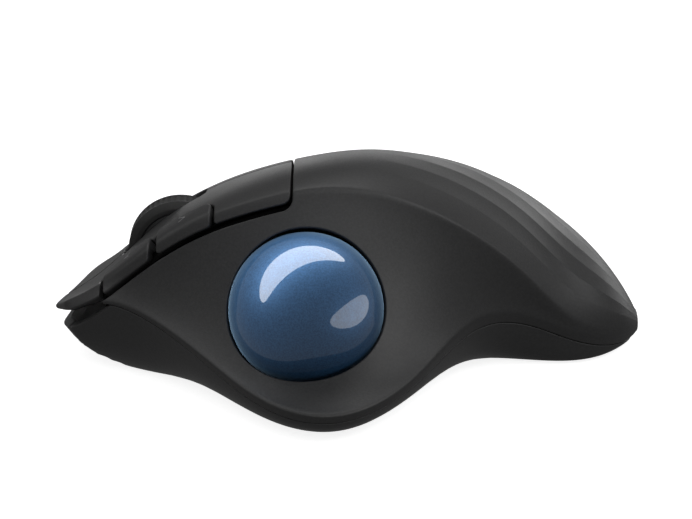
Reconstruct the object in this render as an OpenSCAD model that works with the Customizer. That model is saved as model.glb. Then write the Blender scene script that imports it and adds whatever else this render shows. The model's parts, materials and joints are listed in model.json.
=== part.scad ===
// Thumb-operated trackball mouse, right handed.
// -X is the front with the two keys, -Y the thumb side with the ball, +Z up.
// The origin is on the table, under the middle of the body.

/* [Ball] */
// Diameter of the trackball
ball_d = 34; // [33:0.5:34]
// Gap between the ball and its opening in the top shell
ball_gap = 0.45; // [0.3:0.05:0.6]
// Lean of the ball opening above the horizontal
ball_lean = 39; // [37:1:41]

/* [Shells] */
// Wall thickness of the top shell and the keys
skin = 2; // [1.6:0.1:2.2]
// Wall thickness of the base shell
base_skin = 2.2; // [2:0.1:2.4]
// Gap left between the top shell and the base shell
parting_gap = 0.1; // [0.05:0.05:0.2]
// Gap between the keys and the palm rest, and between the two keys
key_gap = 0.5; // [0.4:0.1:0.7]
// Gap around each thumb button
button_gap = 0.8; // [0.6:0.1:0.9]

/* [Scroll wheel] */
// Outer diameter of the scroll wheel
wheel_d = 24; // [22:0.5:24]
// Width of the scroll wheel
wheel_w = 7; // [6:0.5:7]

/* [Hidden] */

// Colours
graphite = [0.17, 0.17, 0.18];
button_black = [0.12, 0.12, 0.13];
part_black = [0.08, 0.08, 0.08];
frame_grey = [0.3, 0.3, 0.32];
board_green = [0.1, 0.35, 0.2];
steel = [0.7, 0.72, 0.75];

// Facets on round outlines
smooth = 96;
fine = 48;
coarse = 24;

// A box that is larger than the whole mouse
wide = 90;
high = 70;
// Gap between two fixed parts that rest on each other
touch = 0.02;

// ------------------------------------------------------------ body surface
// The body is a loft of upright sections across X. Each rail below has one entry per
// station, and a cubic B-spline is drawn by the entries.
station_x = [-68, -56, -44, -32, -20, -8, 4, 16, 28, 40, 50.5, 59.5, 66, 68.6];
// Edge of the thumb wing, Y and Z
wing = [[-8, 10.5], [-13.5, 20.6], [-19, 18], [-30.5, 13.8], [-43.5, 8.7], [-51.2, 7.4],
    [-49.5, 8], [-36, 9.8], [-15.5, 16.8], [-9, 14.4], [-9, 9.2], [-5.6, 6.2], [0.2, 5],
    [6.5, 4.6]];
// Fold where the scoop meets the crown, Y and Z
fold = [[-7, 14.4], [-11, 20.4], [-13, 31.4], [-14, 39.1], [-14.5, 43.2], [-14.5, 46.4],
    [-14, 46], [-12.5, 41.6], [-10.5, 34.4], [-9, 24.4], [-8.9, 11.6], [-5.4, 8],
    [0.4, 6.2], [6.5, 4.6]];
// Shoulder on the far side, Y and Z
shoulder = [[36, 4.8], [39.5, 7], [43, 8.5], [45.5, 9], [47.8, 9.5], [49.4, 10], [49.8, 10],
    [50, 9.5], [49.5, 9], [46, 8], [39.5, 7], [29, 6.2], [17.5, 5.2], [6.5, 4.6]];
// Scoop curve: angle and reach at the wing, angle and reach at the fold
scoop = [[66, 1.2, 66, 1.2], [55, 1.5, 68, 1.5], [36, 4, 70, 4], [24, 8, 70, 9],
    [15, 12, 68, 12], [12, 14, 66, 14], [14, 13, 66, 13], [24, 10, 68, 10], [55, 6, 76, 6],
    [80, 3.5, 84, 3.5], [84, 1.6, 84, 1.6], [84, 1, 82, 1], [84, 0.6, 80, 0.6],
    [84, 0, 80, 0]];
// Crown curve: angle and reach at the fold, angle and reach at the shoulder
crown = [[-30, 8, 14, 8], [-14, 11, 40, 13], [13, 14, 68, 17.5], [17, 16, 79, 21],
    [19, 18, 79, 24.5], [18, 20, 78, 25], [22, 23, 78, 27], [27, 25, 78, 28],
    [35, 25.5, 78, 28.5], [46, 25.5, 78, 26.5], [62, 24.5, 78, 23.5], [75, 17.5, 78, 15.5],
    [78, 7, 78, 6], [78, 0, 78, 0]];
// Flat sole: near edge, far edge and height
sole = [[-1, 33, 0.8], [-5, 35, 0.8], [-13, 37, 0.8], [-16.5, 39, 0.8], [-33, 41, 0.8],
    [-44, 43, 0.8], [-40.5, 44.5, 0.8], [-12.5, 45, 0.8], [-3.5, 44.5, 0.8],
    [-5.5, 41, 0.8], [-7.5, 34.5, 0.8], [-4, 25, 0.8], [3.5, 12, 2], [6.5, 6.5, 5.4]];
// Depth of the band between the wing edge and the parting line
band = [0.3, 0.6, 1.2, 1.8, 2.2, 2.3, 2.2, 2.3, 3, 2.6, 2.5, 2.8, 2.2, 0];
// Directions of travel up the near band and down the far one
band_up = 107;
band_down = -84;

sole_z = 0.8;
last = len(station_x) - 1;
steps_per_station = 3;
scoop_steps = 8;
crown_steps = 13;
skirt_steps = 4;
// The hollow stops this many stations before the rear tip
solid_tail = 1.6;
// How far a parting sheet runs out past the body
sheet_out = 9;

// The front is upright at the keys and runs back under them like a bow: each entry is how
// far back it is, and at what height
bow = [[13, 0.8], [7.6, 3], [3.7, 6], [0.7, 10], [0, 13]];
front_arcs = [[-56.5, 0, 10], [-51, 14, 14], [-43, 27, 14]];

// ------------------------------------------------------------ keys and buttons
palm_x = -12;
middle_y = 6;
key_skirt = 2.4;
far_key_step = [-0.6, 3.2];
scoop_lip = 1.6;
slot_x = [-51, -31.8];
slot_y = [middle_y - 4.6, middle_y + 4.6];
forward_x = [-54.4, -43.9];
back_x = [-42.2, -30];
// A thumb button's reach over the crown, and how far it stands proud
button_top = 4.2;
button_proud = 0.8;
button_corner = [2.5, 2.2];
// The shelf below the keys
deck_drop = 6.9;
deck_t = 1.2;
deck_rib_x = [palm_x + 0.6, palm_x + 2];
deck_front = -51;

// ------------------------------------------------------------ ball seat
ball_r = ball_d / 2;
ball_at = [-8.7, -26, 22];
ball_turn = -3;
cup_r = 17.6;
cup_t = 2.4;
cup_drop = 4.5;
bearing_r = 1.25;
bearing_gap = 0.05;
bearing_polar = 128;
eject_r = 7;
sensor_hole_r = 3.6;
lens_y = ball_at[1] + cup_r + cup_t + 0.3;
lens_t = 1.4;
chip_t = 1.8;
sensor_y = lens_y + lens_t + 0.1;

// ------------------------------------------------------------ base
floor_z = sole_z + base_skin;
screw_at = [[-34, -11.5], [24, -1], [56, 14.5], [-24, 34.5]];
post_top = 8;
post_r = 3.4;
boss_r = 3;
foot_at = [[-46, 8], [-22, -20], [3.8, -26.5], [54, 3.5], [-38, 31]];
foot_r = 4.5;
foot_sink = 0.4;

// ------------------------------------------------------------ boards and switches
board_z = 7;
board_t = 1.6;
board_top = board_z + board_t;
board_plan = [[-54, -3.5], [-54, 17], [-44, 28.5], [-19, 28.5], [-19, -3.5]];
board_hole_at = [[-46, 25], [-23, 3], [-30.5, -1.5]];
switch_size = [12.8, 5.8, 6.3];
left_switch_at = [-45, -2.8];
right_switch_at = [-40, 16.6];
plunger_size = [2.8, 1.6, 2.3];
plunger_rise = 0.9;
rib_r = 1.3;
rib_gap = 0.05;
press_at = [-50.5, middle_y];
tact_size = [6, 6, 2.6];
tact_pin_r = 1.6;
// The two thumb switches lie on a board along the slope of the keys
side_slope = 37;
side_at = [-42.5, -6.5, 26.82];
side_board_size = [24, 4.5, 1];
side_switch_x = [-5.6, 7.2];
side_switch_size = [4, 3.4, 1.35];
side_plunger_size = [1.6, 1.6, 0.9];

// ------------------------------------------------------------ scroll wheel
wheel_r = wheel_d / 2;
wheel_at = [-37.7, middle_y, 24];
tyre_t = 2.6;
hub_r = wheel_r - tyre_t;
axle_r = 1.5;
axle_l = 14;
running_gap = 0.05;
pivot_at = [-22.5, middle_y, 14];
carrier_in = 4.1;
carrier_t = 1.5;

// ------------------------------------------------------------ power
bay_x = [-14, 43.5];
bay_y = [9.7, 34.2];
bay_wall = 1.2;
bay_top = 12;
divider_y = [26, 26.8];
cell_d = 14.5;
cell_l = 50.5;
cell_at = [-8.5, 17.5, 10.6];
contact_size = 9;
contact_t = 0.5;
door_x = [-17, 46.5];
door_y = [7.2, 36.6];
door_t = 1.3;
door_slide = 3;
door_corner = 5;
receiver_at = [6, 27.4, 3.2];
receiver_size = [6.7, 6.1, 14.4];
plug_size = [12, 4.5, 12];
slider_at = [-37, 20];
slider_slot = [8.4, 4];
pair_at = [-27, 22];
pair_r = 2;

// ============================================================ curves
function at(rail, k) = k < 0 ? 2 * rail[0] - rail[1]
    : k > last ? 2 * rail[last] - rail[last - 1] : rail[k];
function spline(a, b, c, d, u) = (pow(1 - u, 3) * a + (3 * pow(u, 3) - 6 * u * u + 4) * b
    + (-3 * pow(u, 3) + 3 * u * u + 3 * u + 1) * c + pow(u, 3) * d) / 6;
function on_rail(rail, s) = let (i = min(floor(s), last - 1))
    spline(at(rail, i - 1), at(rail, i), at(rail, i + 1), at(rail, i + 2), s - i);
function along(c, t) = pow(1 - t, 3) * c[0] + 3 * pow(1 - t, 2) * t * c[1]
    + 3 * (1 - t) * t * t * c[2] + pow(t, 3) * c[3];
function toward(angle, reach) = [cos(angle), sin(angle)] * reach;
function heading(a, b) = atan2(b[1] - a[1], b[0] - a[0]);

// Step that moves a corner inwards and keeps the walls before and after it d away
function mitre(before, after, d) =
    let (a = [sin(before), -cos(before)], b = [sin(after), -cos(after)])
    d * (a + b) / (1 + a * b);
// A cubic curve moved inwards by d, with its ends moved by the given steps
function curve_in(c, first_step, last_step, d) = let (middle = heading(c[1], c[2])) [
    c[0] + first_step,
    c[1] + mitre(heading(c[0], c[1]), middle, d),
    c[2] + mitre(middle, heading(c[2], c[3]), d),
    c[3] + last_step];

function wing_at(s) = on_rail(wing, s);
function fold_at(s) = on_rail(fold, s);
function shoulder_at(s) = on_rail(shoulder, s);
function near_part(s) = wing_at(s) + [0.3, -1] * on_rail(band, s);
function far_part(s) = shoulder_at(s) + [0.1, -1] * on_rail(band, s);
function scoop_curve(s, d = 0) =
    let (f = on_rail(scoop, s), w = wing_at(s), t = fold_at(s))
    curve_in([w, w + toward(f[0], f[1]), t - toward(f[2], f[3]), t],
        mitre(band_up, f[0], d), mitre(f[2], on_rail(crown, s)[0], d), d);
function crown_curve(s, d = 0) =
    let (f = on_rail(crown, s), t = fold_at(s), r = shoulder_at(s))
    curve_in([t, t + toward(f[0], f[1]), r - toward(-f[2], f[3]), r],
        mitre(on_rail(scoop, s)[2], f[0], d), mitre(-f[2], band_down, d), d);
// A skirt runs down from the parting line and curls under to the sole
function skirt_at(top, foot, t) =
    let (belly = [top[0] + 0.15 * (foot[0] - top[0]), foot[1] + 0.25 * (top[1] - foot[1])])
    pow(1 - t, 2) * top + 2 * (1 - t) * t * belly + t * t * foot;

// Upright section of the body at station s, moved inwards by d
function section(s, d = 0) = let (
    foot = on_rail(sole, s),
    z = foot[2] + d,
    tuck = 0.4 * d,
    low = scoop_curve(s, d),
    up = crown_curve(s, d),
    near = near_part(s) + mitre(band_up, band_up, d),
    far = far_part(s) + mitre(band_down, band_down, d))
    concat(
        [for (k = [skirt_steps:-1:0]) skirt_at(near, [foot[0] + tuck, z], k / skirt_steps)],
        [for (k = [0:scoop_steps]) along(low, k / scoop_steps)],
        [for (k = [1:crown_steps]) along(up, k / crown_steps)],
        [for (k = [0:skirt_steps]) skirt_at(far, [foot[1] - tuck, z], k / skirt_steps)]);

stations = [for (k = [0:steps_per_station * last - 1]) k / steps_per_station];
function x_of(list) = [for (s = list) on_rail(station_x, s)];

// ============================================================ building blocks
// Joins sections of equal length into a closed solid
module loft(xs, loops) {
    n = len(loops[0]);
    m = len(loops);
    points = [for (i = [0:m - 1]) for (p = loops[i]) [xs[i], p[0], p[1]]];
    sides = [for (i = [0:m - 2]) for (j = [0:n - 1]) for (half = [0, 1])
        let (a = i * n + j, b = i * n + (j + 1) % n)
        half == 0 ? [a, b, a + n] : [a + n, b, b + n]];
    front = [for (j = [n - 1:-1:0]) j];
    rear = [for (j = [0:n - 1]) (m - 1) * n + j];
    polyhedron(points, concat(sides, [front, rear]));
}

module block(x, y, z) {
    translate([x[0], y[0], z[0]]) cube([x[1] - x[0], y[1] - y[0], z[1] - z[0]]);
}

// An upright rod on a plan point
module rod(p, z, r, facets = coarse) {
    translate([p[0], p[1], z[0]]) cylinder(h = z[1] - z[0], r = r, $fn = facets);
}

module along_y(p, h, r) {
    translate([p[0], p[1] - h / 2, p[2]]) rotate([-90, 0, 0]) cylinder(h = h, r = r);
}

module rounded_plan(x, y, r) {
    hull() for (px = [x[0] + r, x[1] - r]) for (py = [y[0] + r, y[1] - r])
        translate([px, py]) circle(r, $fn = 32);
}

// Turns +Z to the direction the ball opening faces
module facing_ball() {
    translate(ball_at) rotate([90 - ball_lean, 0, ball_turn]) children();
}

// ============================================================ body and regions
module raw_body(d) {
    inside = [for (s = stations) if (s <= last - solid_tail) s];
    part = d > 0 ? inside : stations;
    loft(x_of(part), [for (s = part) section(s, d)]);
}

module front_outline(back) {
    translate([back, 0]) hull() {
        for (a = front_arcs) translate([a[0], a[1]]) circle(a[2], $fn = fine);
        translate([-38, -60]) square([110 - back, 120]);
    }
}

module front_trim(d) {
    hull() for (b = bow) translate([0, 0, b[0] == bow[0][0] ? b[1] - 1 : b[1]])
        linear_extrude(b[0] == 0 ? high : 1) offset(delta = -d) front_outline(b[0]);
}

// The body, moved inwards by d from every side
module body(d = 0) {
    intersection() {
        raw_body(d);
        front_trim(d);
    }
}

// Everything above a ruled sheet between two rails, given as functions of the station
module above(near_rail, far_rail) {
    loft(x_of(stations), [for (s = stations)
        let (a = near_rail(s), b = far_rail(s), out = sheet_out * (b - a) / norm(b - a))
        [[a[0] - sheet_out, high], [b[0] + sheet_out, high], b + out, a - out]]);
}

// Crown of the body, lowered by drop and going down by thickness
module crown_sheet(drop, thickness) {
    loft(x_of(stations), [for (s = stations) let (c = crown_curve(s)) concat(
        [for (k = [0:crown_steps]) along(c, k / crown_steps) - [0, drop]],
        [for (k = [crown_steps:-1:0]) along(c, k / crown_steps) - [0, drop + thickness]])]);
}

module seam_zone(lift) {
    translate([0, 0, lift]) above(function (s) near_part(s), function (s) far_part(s));
}

function near_key(s) = fold_at(s) - toward(on_rail(scoop, s)[2], key_skirt);
function far_key(s) = shoulder_at(s) + far_key_step;
module key_zone() { above(function (s) near_key(s), function (s) far_key(s)); }

// Everything above the lip that faces the keys' lower edge
module lip_zone() {
    intersection() {
        translate([0, 0, -scoop_lip]) key_zone();
        block([-wide, palm_x + key_gap / 2], [-wide, wide], [0, high]);
    }
}

// Space that the rim of the base shell takes, with a little room around it
module base_rim_zone() {
    difference() {
        block([-wide, wide], [-wide, wide], [-1, high]);
        seam_zone(0.2);
        body(base_skin + 0.3);
    }
}

// ============================================================ shells
module base_shell() {
    color(graphite) difference() {
        resize([0, 0, 0]) difference() {
            union() {
                base_wall();
                base_posts();
                bay_walls();
            }
            base_cutouts();
            translate([0, 0, -0.15]) lip_zone();
        }
        rod(ball_at, [0, floor_z + 3], eject_r, smooth);
    }
}

module base_wall() {
    difference() {
        body();
        seam_zone(-parting_gap / 2);
        body(base_skin);
    }
}

module base_posts() {
    intersection() {
        union() {
            for (p = screw_at) rod(p, [sole_z + 0.5, post_top], post_r);
            for (p = board_hole_at) rod(p, [sole_z + 0.5, board_z - touch], 2.6);
        }
        body(0.5);
    }
}

module bay_walls() {
    difference() {
        block([bay_x[0] - bay_wall, bay_x[1] + bay_wall],
            [bay_y[0] - bay_wall, bay_y[1] + bay_wall], [sole_z + 0.5, bay_top]);
        block(bay_x, bay_y, [0, bay_top + 1]);
    }
    block(bay_x, divider_y, [floor_z - 0.4, bay_top]);
}

module base_cutouts() {
    for (p = screw_at) {
        rod(p, [0, 4], 2.5);
        rod(p, [0, post_top + 1], 1.3);
    }
    for (p = board_hole_at) rod(p, [floor_z, board_z + 1], 1.05);
    for (p = foot_at) rod(p, [0, sole_z + foot_sink], foot_r + 0.1);
    linear_extrude(sole_z + door_t + 0.1) rounded_plan(
        [door_x[0] - 0.25, door_x[1] + door_slide + 0.3], [door_y[0] - 0.25, door_y[1] + 0.25],
        door_corner);
    block(bay_x, bay_y, [0, 6]);
    translate([slider_at[0], slider_at[1], 2]) cube([slider_slot[0], slider_slot[1], 4], true);
    rod(pair_at, [0, 4], pair_r + 0.3);
}

module top_shell() {
    color(graphite) resize([0, 0, 0]) difference() {
        union() {
            top_wall();
            deck();
            top_bosses();
        }
        facing_ball() cylinder(h = 40, r = ball_r + ball_gap, $fn = smooth);
        translate(ball_at) sphere(ball_r + ball_gap, $fn = smooth);
        block([slot_x[0] - 1, slot_x[1] + 8], [middle_y - 6.2, middle_y + 9.2], [9, high]);
        for (p = [left_switch_at, right_switch_at]) rod(p, [12, 42], 2.6);
    }
}

module top_wall() {
    difference() {
        intersection() {
            body();
            seam_zone(parting_gap / 2);
        }
        body(skin);
        lip_zone();
    }
}

// Shelf below the keys, with a rib that joins it to the palm rest
module deck() {
    difference() {
        intersection() {
            union() {
                intersection() {
                    crown_sheet(deck_drop, deck_t);
                    block([deck_front, deck_rib_x[1]], [-wide, wide], [6, high]);
                }
                intersection() {
                    crown_sheet(1, deck_drop + deck_t - 1.2);
                    block(deck_rib_x, [-wide, wide], [6, high]);
                }
            }
            body(0.4);
        }
        base_rim_zone();
    }
}

module top_bosses() {
    difference() {
        intersection() {
            for (p = screw_at) rod(p, [post_top + 0.1, high], boss_r);
            body(0.5);
        }
        for (p = screw_at) rod(p, [0, post_top + 8], 1.15);
        intersection() {
            crown_sheet(-8, deck_drop + 7.8);
            block([-wide, palm_x], [-wide, wide], [0, high]);
        }
        intersection() {
            lip_zone();
            block([-wide, palm_x], [-wide, 0], [0, high]);
        }
    }
}

// ============================================================ keys and thumb buttons
module key_plate(y) {
    difference() {
        intersection() {
            body();
            key_zone();
            block([-wide, palm_x - key_gap / 2], y, [0, high]);
        }
        body(skin);
        block(slot_x, slot_y, [0, high]);
    }
}

module key_rib(p) {
    rib_foot = board_top + touch + switch_size[2] + plunger_rise + rib_gap;
    intersection() {
        rod(p, [rib_foot, high], rib_r);
        body(1);
    }
}

module left_key() {
    color(graphite) resize([0, 0, 0]) union() {
        difference() {
            key_plate([-wide, middle_y - key_gap / 2]);
            button_plan(forward_x, button_gap);
            button_plan(back_x, button_gap);
            block([forward_x[1], back_x[0]], [-wide, button_top - 15], [0, high]);
        }
        key_rib(left_switch_at);
    }
}

module right_key() {
    color(graphite) resize([0, 0, 0]) union() {
        key_plate([middle_y + key_gap / 2, wide]);
        key_rib(right_switch_at);
    }
}

// Fold of the keys in plan
function fold_y(x) = -14 + 0.12 * (-30 - x);

// Plan of a thumb button, widened by a gap for its cut-out
module button_plan(x, gap) {
    front_y = fold_y(x[0]) + button_top;
    linear_extrude(high) offset(gap) polygon([[x[0], -40], [x[1], -40],
        [x[1], fold_y(x[1]) + button_top], [x[0] + button_corner[0], front_y],
        [x[0], front_y - button_corner[1]]]);
}

// Thumb button, with a post behind it that meets its switch
module thumb_button(x, switch_x) {
    intersection() {
        difference() {
            body(-button_proud);
            body(skin);
        }
        translate([0, 0, -0.2]) key_zone();
        button_plan(x, 0);
    }
    intersection() {
        on_slope() translate([switch_x - 1, -9, 0.3]) cube([2, 6.05, 3.2]);
        body(1);
        translate([0, 0, -1]) key_zone();
        button_plan(x, -0.5);
    }
}

module forward_button() {
    color(button_black) resize([0, 0, 0]) union() thumb_button(forward_x, side_switch_x[0]);
}

module back_button() {
    color(button_black) resize([0, 0, 0]) union() thumb_button(back_x, side_switch_x[1]);
}

// ============================================================ ball, cup and sensor
module trackball() { color([0.25, 0.38, 0.55]) translate(ball_at) sphere(ball_r, $fn = smooth); }

module at_bearings() {
    facing_ball() for (turn = [90, 210, 330])
        rotate([0, 0, turn]) rotate([0, bearing_polar, 0])
            translate([0, 0, ball_r + bearing_r + bearing_gap]) children();
}

module bearing_balls() { color("white") at_bearings() sphere(bearing_r, $fn = 32); }

module ball_cup() {
    color(part_black) difference() {
        facing_ball() rotate_extrude($fn = smooth) intersection() {
            difference() {
                circle(cup_r + cup_t, $fn = smooth);
                circle(cup_r, $fn = smooth);
            }
            translate([0, -40]) square([40, 40 - cup_drop]);
        }
        at_bearings() sphere(bearing_r + 0.05, $fn = 32);
        rod(ball_at, [-5, 7], eject_r, smooth);
        translate([ball_at[0] - 30, ball_at[1] - 30, -10]) cube([60, 60, floor_z + 10.1]);
        translate(ball_at) rotate([-90, 0, 0]) cylinder(h = 30, r = sensor_hole_r);
    }
}

module sensor_lens() {
    color([0.8, 0.85, 0.9, 0.6]) translate([ball_at[0], lens_y, ball_at[2]])
        rotate([-90, 0, 0]) union() {
            cylinder(h = lens_t, r = 5.5);
            translate([0, 0, -1.6]) cylinder(h = 1.6, r = sensor_hole_r - 0.3);
        }
}

module sensor_chip() {
    color(part_black) translate([ball_at[0] - 5, sensor_y, ball_at[2] - 5]) cube([10, chip_t, 10]);
}

module sensor_board() {
    color(board_green) difference() {
        translate([ball_at[0] - 10, sensor_y + chip_t + 0.05, ball_at[2] - 9])
            cube([20, 1.2, 20]);
        for (dx = [-8, 8]) along_y([ball_at[0] + dx, 0, ball_at[2] + 8], 20, 1.1);
    }
}

module sensor_ribbon() {
    color("ivory") translate([-19.9, sensor_y + chip_t + 1.3, board_top + touch])
        cube([2.7, 0.5, 11.4]);
}

// ============================================================ boards and switches
module main_board() {
    color(board_green) difference() {
        translate([0, 0, board_z]) linear_extrude(board_t) polygon(board_plan);
        for (p = board_hole_at) rod(p, [0, 20], 1.2);
    }
}

module on_board(p) { translate([p[0], p[1], board_top + touch]) children(); }

module radio_chip() { color(part_black) on_board([-53, 10]) cube([6, 6, 0.9]); }
module crystal_can() { color(steel) on_board([-36, 24.2]) cube([5, 2.4, 1.2]); }
module board_capacitors() {
    color("tan") for (k = [0:3])
        on_board([-28 + 2.2 * (k % 2), 17 + 2.6 * floor(k / 2)]) cube([1.6, 0.8, 0.8]);
}

// Micro switch with a pocket for its plunger
module micro_switch(p) {
    pocket = [plunger_size[0] + 0.2, plunger_size[1] + 0.2, 5];
    color(part_black) on_board(p) difference() {
        translate([-switch_size[0] / 2, -switch_size[1] / 2, 0]) cube(switch_size);
        translate([-pocket[0] / 2, -pocket[1] / 2, switch_size[2] - 2.4]) cube(pocket);
    }
}

module micro_plunger(p) {
    foot = switch_size[2] + plunger_rise - plunger_size[2];
    color("white") on_board(p)
        translate([-plunger_size[0] / 2, -plunger_size[1] / 2, foot]) cube(plunger_size);
}

module left_switch() { micro_switch(left_switch_at); }
module right_switch() { micro_switch(right_switch_at); }
module left_plunger() { micro_plunger(left_switch_at); }
module right_plunger() { micro_plunger(right_switch_at); }

module middle_switch() {
    color(part_black) on_board(press_at) difference() {
        translate([-tact_size[0] / 2, -tact_size[1] / 2, 0]) cube(tact_size);
        translate([0, 0, 1]) cylinder(h = 5, r = tact_pin_r + running_gap);
    }
}

module middle_plunger() {
    color("white") on_board(press_at) translate([0, 0, 1.8])
        cylinder(h = tact_size[2] - 1, r = tact_pin_r);
}

module on_slope() { translate(side_at) rotate([0, -side_slope, 0]) children(); }

module side_board() {
    color(board_green) on_slope() translate([-12, -2.6, -1]) cube(side_board_size);
}

module side_switches() {
    color(part_black) on_slope() for (x = side_switch_x) difference() {
        translate([x - 2, -2.2, touch]) cube(side_switch_size);
        translate([x - 0.85, -3, 0.2]) cube([1.7, 2.4, 1]);
    }
}

module side_plunger(x) {
    color("white") on_slope() translate([x - 0.8, -2.9, 0.25]) cube(side_plunger_size);
}

module forward_plunger() { side_plunger(side_switch_x[0]); }
module back_plunger() { side_plunger(side_switch_x[1]); }

// ============================================================ scroll wheel
module wheel_hub() {
    color(part_black) difference() {
        along_y(wheel_at, wheel_w - 0.8, hub_r);
        along_y(wheel_at, wheel_w + 1, axle_r + touch);
        // A dished face on each side, around the boss of the axle
        for (side = [-1, 1]) translate([0, side * (wheel_w / 2 - 0.4), 0]) difference() {
            along_y(wheel_at, 2.4, hub_r - 1.6);
            along_y(wheel_at, 3, 3);
        }
    }
}

module wheel_tyre() {
    bevel = 1.3;
    half = wheel_w / 2;
    color(part_black) translate(wheel_at) rotate([-90, 0, 0]) rotate_extrude($fn = smooth)
        polygon([[hub_r + touch, -half], [wheel_r - bevel, -half], [wheel_r, bevel - half],
            [wheel_r, half - bevel], [wheel_r - bevel, half], [hub_r + touch, half]]);
}

module wheel_axle() { color(steel) along_y(wheel_at, axle_l, axle_r); }

module carrier_plan() {
    hull() {
        for (p = [wheel_at, pivot_at]) translate([p[0], p[2]]) circle(3, $fn = 32);
        translate([press_at[0], 13.6]) circle(1.5, $fn = 32);
    }
}

// Two cheeks beside the wheel, a bar over the middle switch, and the pivot pins
module wheel_carrier() {
    reach = carrier_in + carrier_t;
    color(frame_grey) difference() {
        union() {
            for (y = [-carrier_in, reach]) translate([0, middle_y + y, 0])
                rotate([90, 0, 0]) linear_extrude(carrier_t) carrier_plan();
            block([press_at[0] - 1.5, press_at[0] + 1],
                [middle_y - carrier_in - 0.2, middle_y + carrier_in + 0.2], [12.1, 14.8]);
            along_y(pivot_at, 2 * reach + 4.4, axle_r);
        }
        along_y(wheel_at, 40, axle_r + running_gap);
    }
}

module wheel_bracket() {
    strap_x = [-25, -20];
    foot = board_top + touch;
    color(frame_grey) difference() {
        union() {
            for (y = [middle_y - 8.3, middle_y + 6.1]) block(strap_x, [y, y + 2.2], [foot, 16.6]);
            block(strap_x, [middle_y - 8, middle_y + 8], [foot, foot + 1.2]);
        }
        along_y(pivot_at, 40, axle_r + running_gap);
        rod(board_hole_at[1], [0, 20], 2.2);
    }
}

module wheel_encoder() {
    color("green") difference() {
        block([wheel_at[0] - 3, wheel_at[0] + 3], [middle_y + 5.7, middle_y + 8.5],
            [wheel_at[2] - 6, wheel_at[2] + 2.2]);
        along_y(wheel_at, 40, axle_r + running_gap);
    }
}

// ============================================================ power
module battery() {
    color([0.25, 0.3, 0.35]) translate(cell_at) rotate([0, 90, 0]) union() {
        cylinder(h = cell_l - 1, r = cell_d / 2);
        translate([0, 0, cell_l - 1.01]) cylinder(h = 1, r = 2.75);
    }
}

// Cone of rings, squeezed between the cell and its plate
module battery_spring() {
    turns = 4;
    pitch = 1.15;
    wire_r = 0.4;
    color(steel) translate([cell_at[0] - 0.05, cell_at[1], cell_at[2]]) rotate([0, -90, 0])
        union() {
            for (k = [0:turns - 1]) translate([0, 0, wire_r + touch + pitch * k])
                rotate_extrude() translate([2.6 + 0.35 * k, 0]) circle(wire_r, $fn = 16);
            translate([-contact_size / 2, -contact_size / 2, pitch * turns])
                cube([contact_size, contact_size, contact_t]);
        }
}

module battery_contact() {
    color(steel) translate(cell_at + [cell_l + 0.05, -contact_size / 2, -contact_size / 2])
        cube([contact_t, contact_size, contact_size]);
}

module battery_leads() {
    color("red") translate([bay_x[0] - 6, 7.7, 4]) rotate([0, 90, 0]) cylinder(h = 64, r = 0.6);
    color(part_black) rod([bay_x[0] - 2.2, 14], [5, 11], 0.6);
}

module battery_door() {
    color(graphite) translate([0, 0, sole_z]) linear_extrude(door_t)
        rounded_plan(door_x, door_y, door_corner);
}

module receiver_body() { color(part_black) translate(receiver_at) cube(receiver_size); }

module receiver_plug() {
    color(steel) translate(receiver_at + [receiver_size[0] + touch, 0.8, 1.2]) difference() {
        cube(plug_size);
        translate([1, 2.2, 0.5]) cube([plug_size[0], 1.8, plug_size[2] - 1]);
    }
}

// ============================================================ underside controls
module power_switch() {
    color(steel) translate([slider_at[0] - 4.3, slider_at[1] - 1.8, 4.3])
        cube([8.6, 3.6, board_z - 4.3 - touch]);
}

// The knob shows in the slot and its plate slides on the floor above it
module power_slider() {
    color("orangered") translate([slider_at[0], slider_at[1], 0]) union() {
        block([-3.8, 0.8], [-1.7, 1.7], [sole_z + 0.3, floor_z + 0.3]);
        block([-5.5, 2.5], [-2.8, 2.8], [floor_z + 0.25, floor_z + 0.9]);
    }
}

module pair_switch() {
    color(steel) translate([pair_at[0] - 2.2, pair_at[1] - 2.2, 5])
        cube([4.4, 4.4, board_z - 5 - touch]);
}

module pair_button() {
    color("dimgray") union() {
        rod(pair_at, [sole_z + 0.2, 4.55], pair_r);
        rod(pair_at, [floor_z + 0.1, floor_z + 0.9], 3);
    }
}

// ============================================================ feet and screws
module feet() {
    color([0.25, 0.25, 0.25]) for (p = foot_at)
        rod(p, [0, sole_z + foot_sink - touch], foot_r);
}

module screw(head_r, head_h, r, length) {
    difference() {
        union() {
            cylinder(h = head_h, r = head_r);
            translate([0, 0, head_h - 0.01]) cylinder(h = length, r = r);
        }
        for (turn = [0, 90]) rotate(turn)
            translate([-head_r * 0.6, -0.3, -1]) cube([head_r * 1.2, 0.6, 1.7]);
    }
}

module case_screws() {
    color(steel) for (p = screw_at) translate([p[0], p[1], 2.3]) screw(2.3, 1.65, 1.1, 10);
}

module board_screws() {
    color(steel) for (p = board_hole_at) translate([p[0], p[1], board_top + 1.05])
        mirror([0, 0, 1]) screw(1.9, 1, 0.95, 4.5);
}

base_shell();
top_shell();
left_key();
right_key();
forward_button();
back_button();
trackball();
ball_cup();
bearing_balls();
sensor_lens();
sensor_chip();
sensor_board();
sensor_ribbon();
main_board();
radio_chip();
crystal_can();
board_capacitors();
left_switch();
right_switch();
middle_switch();
left_plunger();
right_plunger();
middle_plunger();
side_board();
side_switches();
forward_plunger();
back_plunger();
wheel_hub();
wheel_tyre();
wheel_axle();
wheel_carrier();
wheel_bracket();
wheel_encoder();
battery();
battery_spring();
battery_contact();
battery_leads();
battery_door();
receiver_body();
receiver_plug();
power_switch();
power_slider();
pair_switch();
pair_button();
feet();
case_screws();
board_screws();
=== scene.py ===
import json
import math

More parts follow.
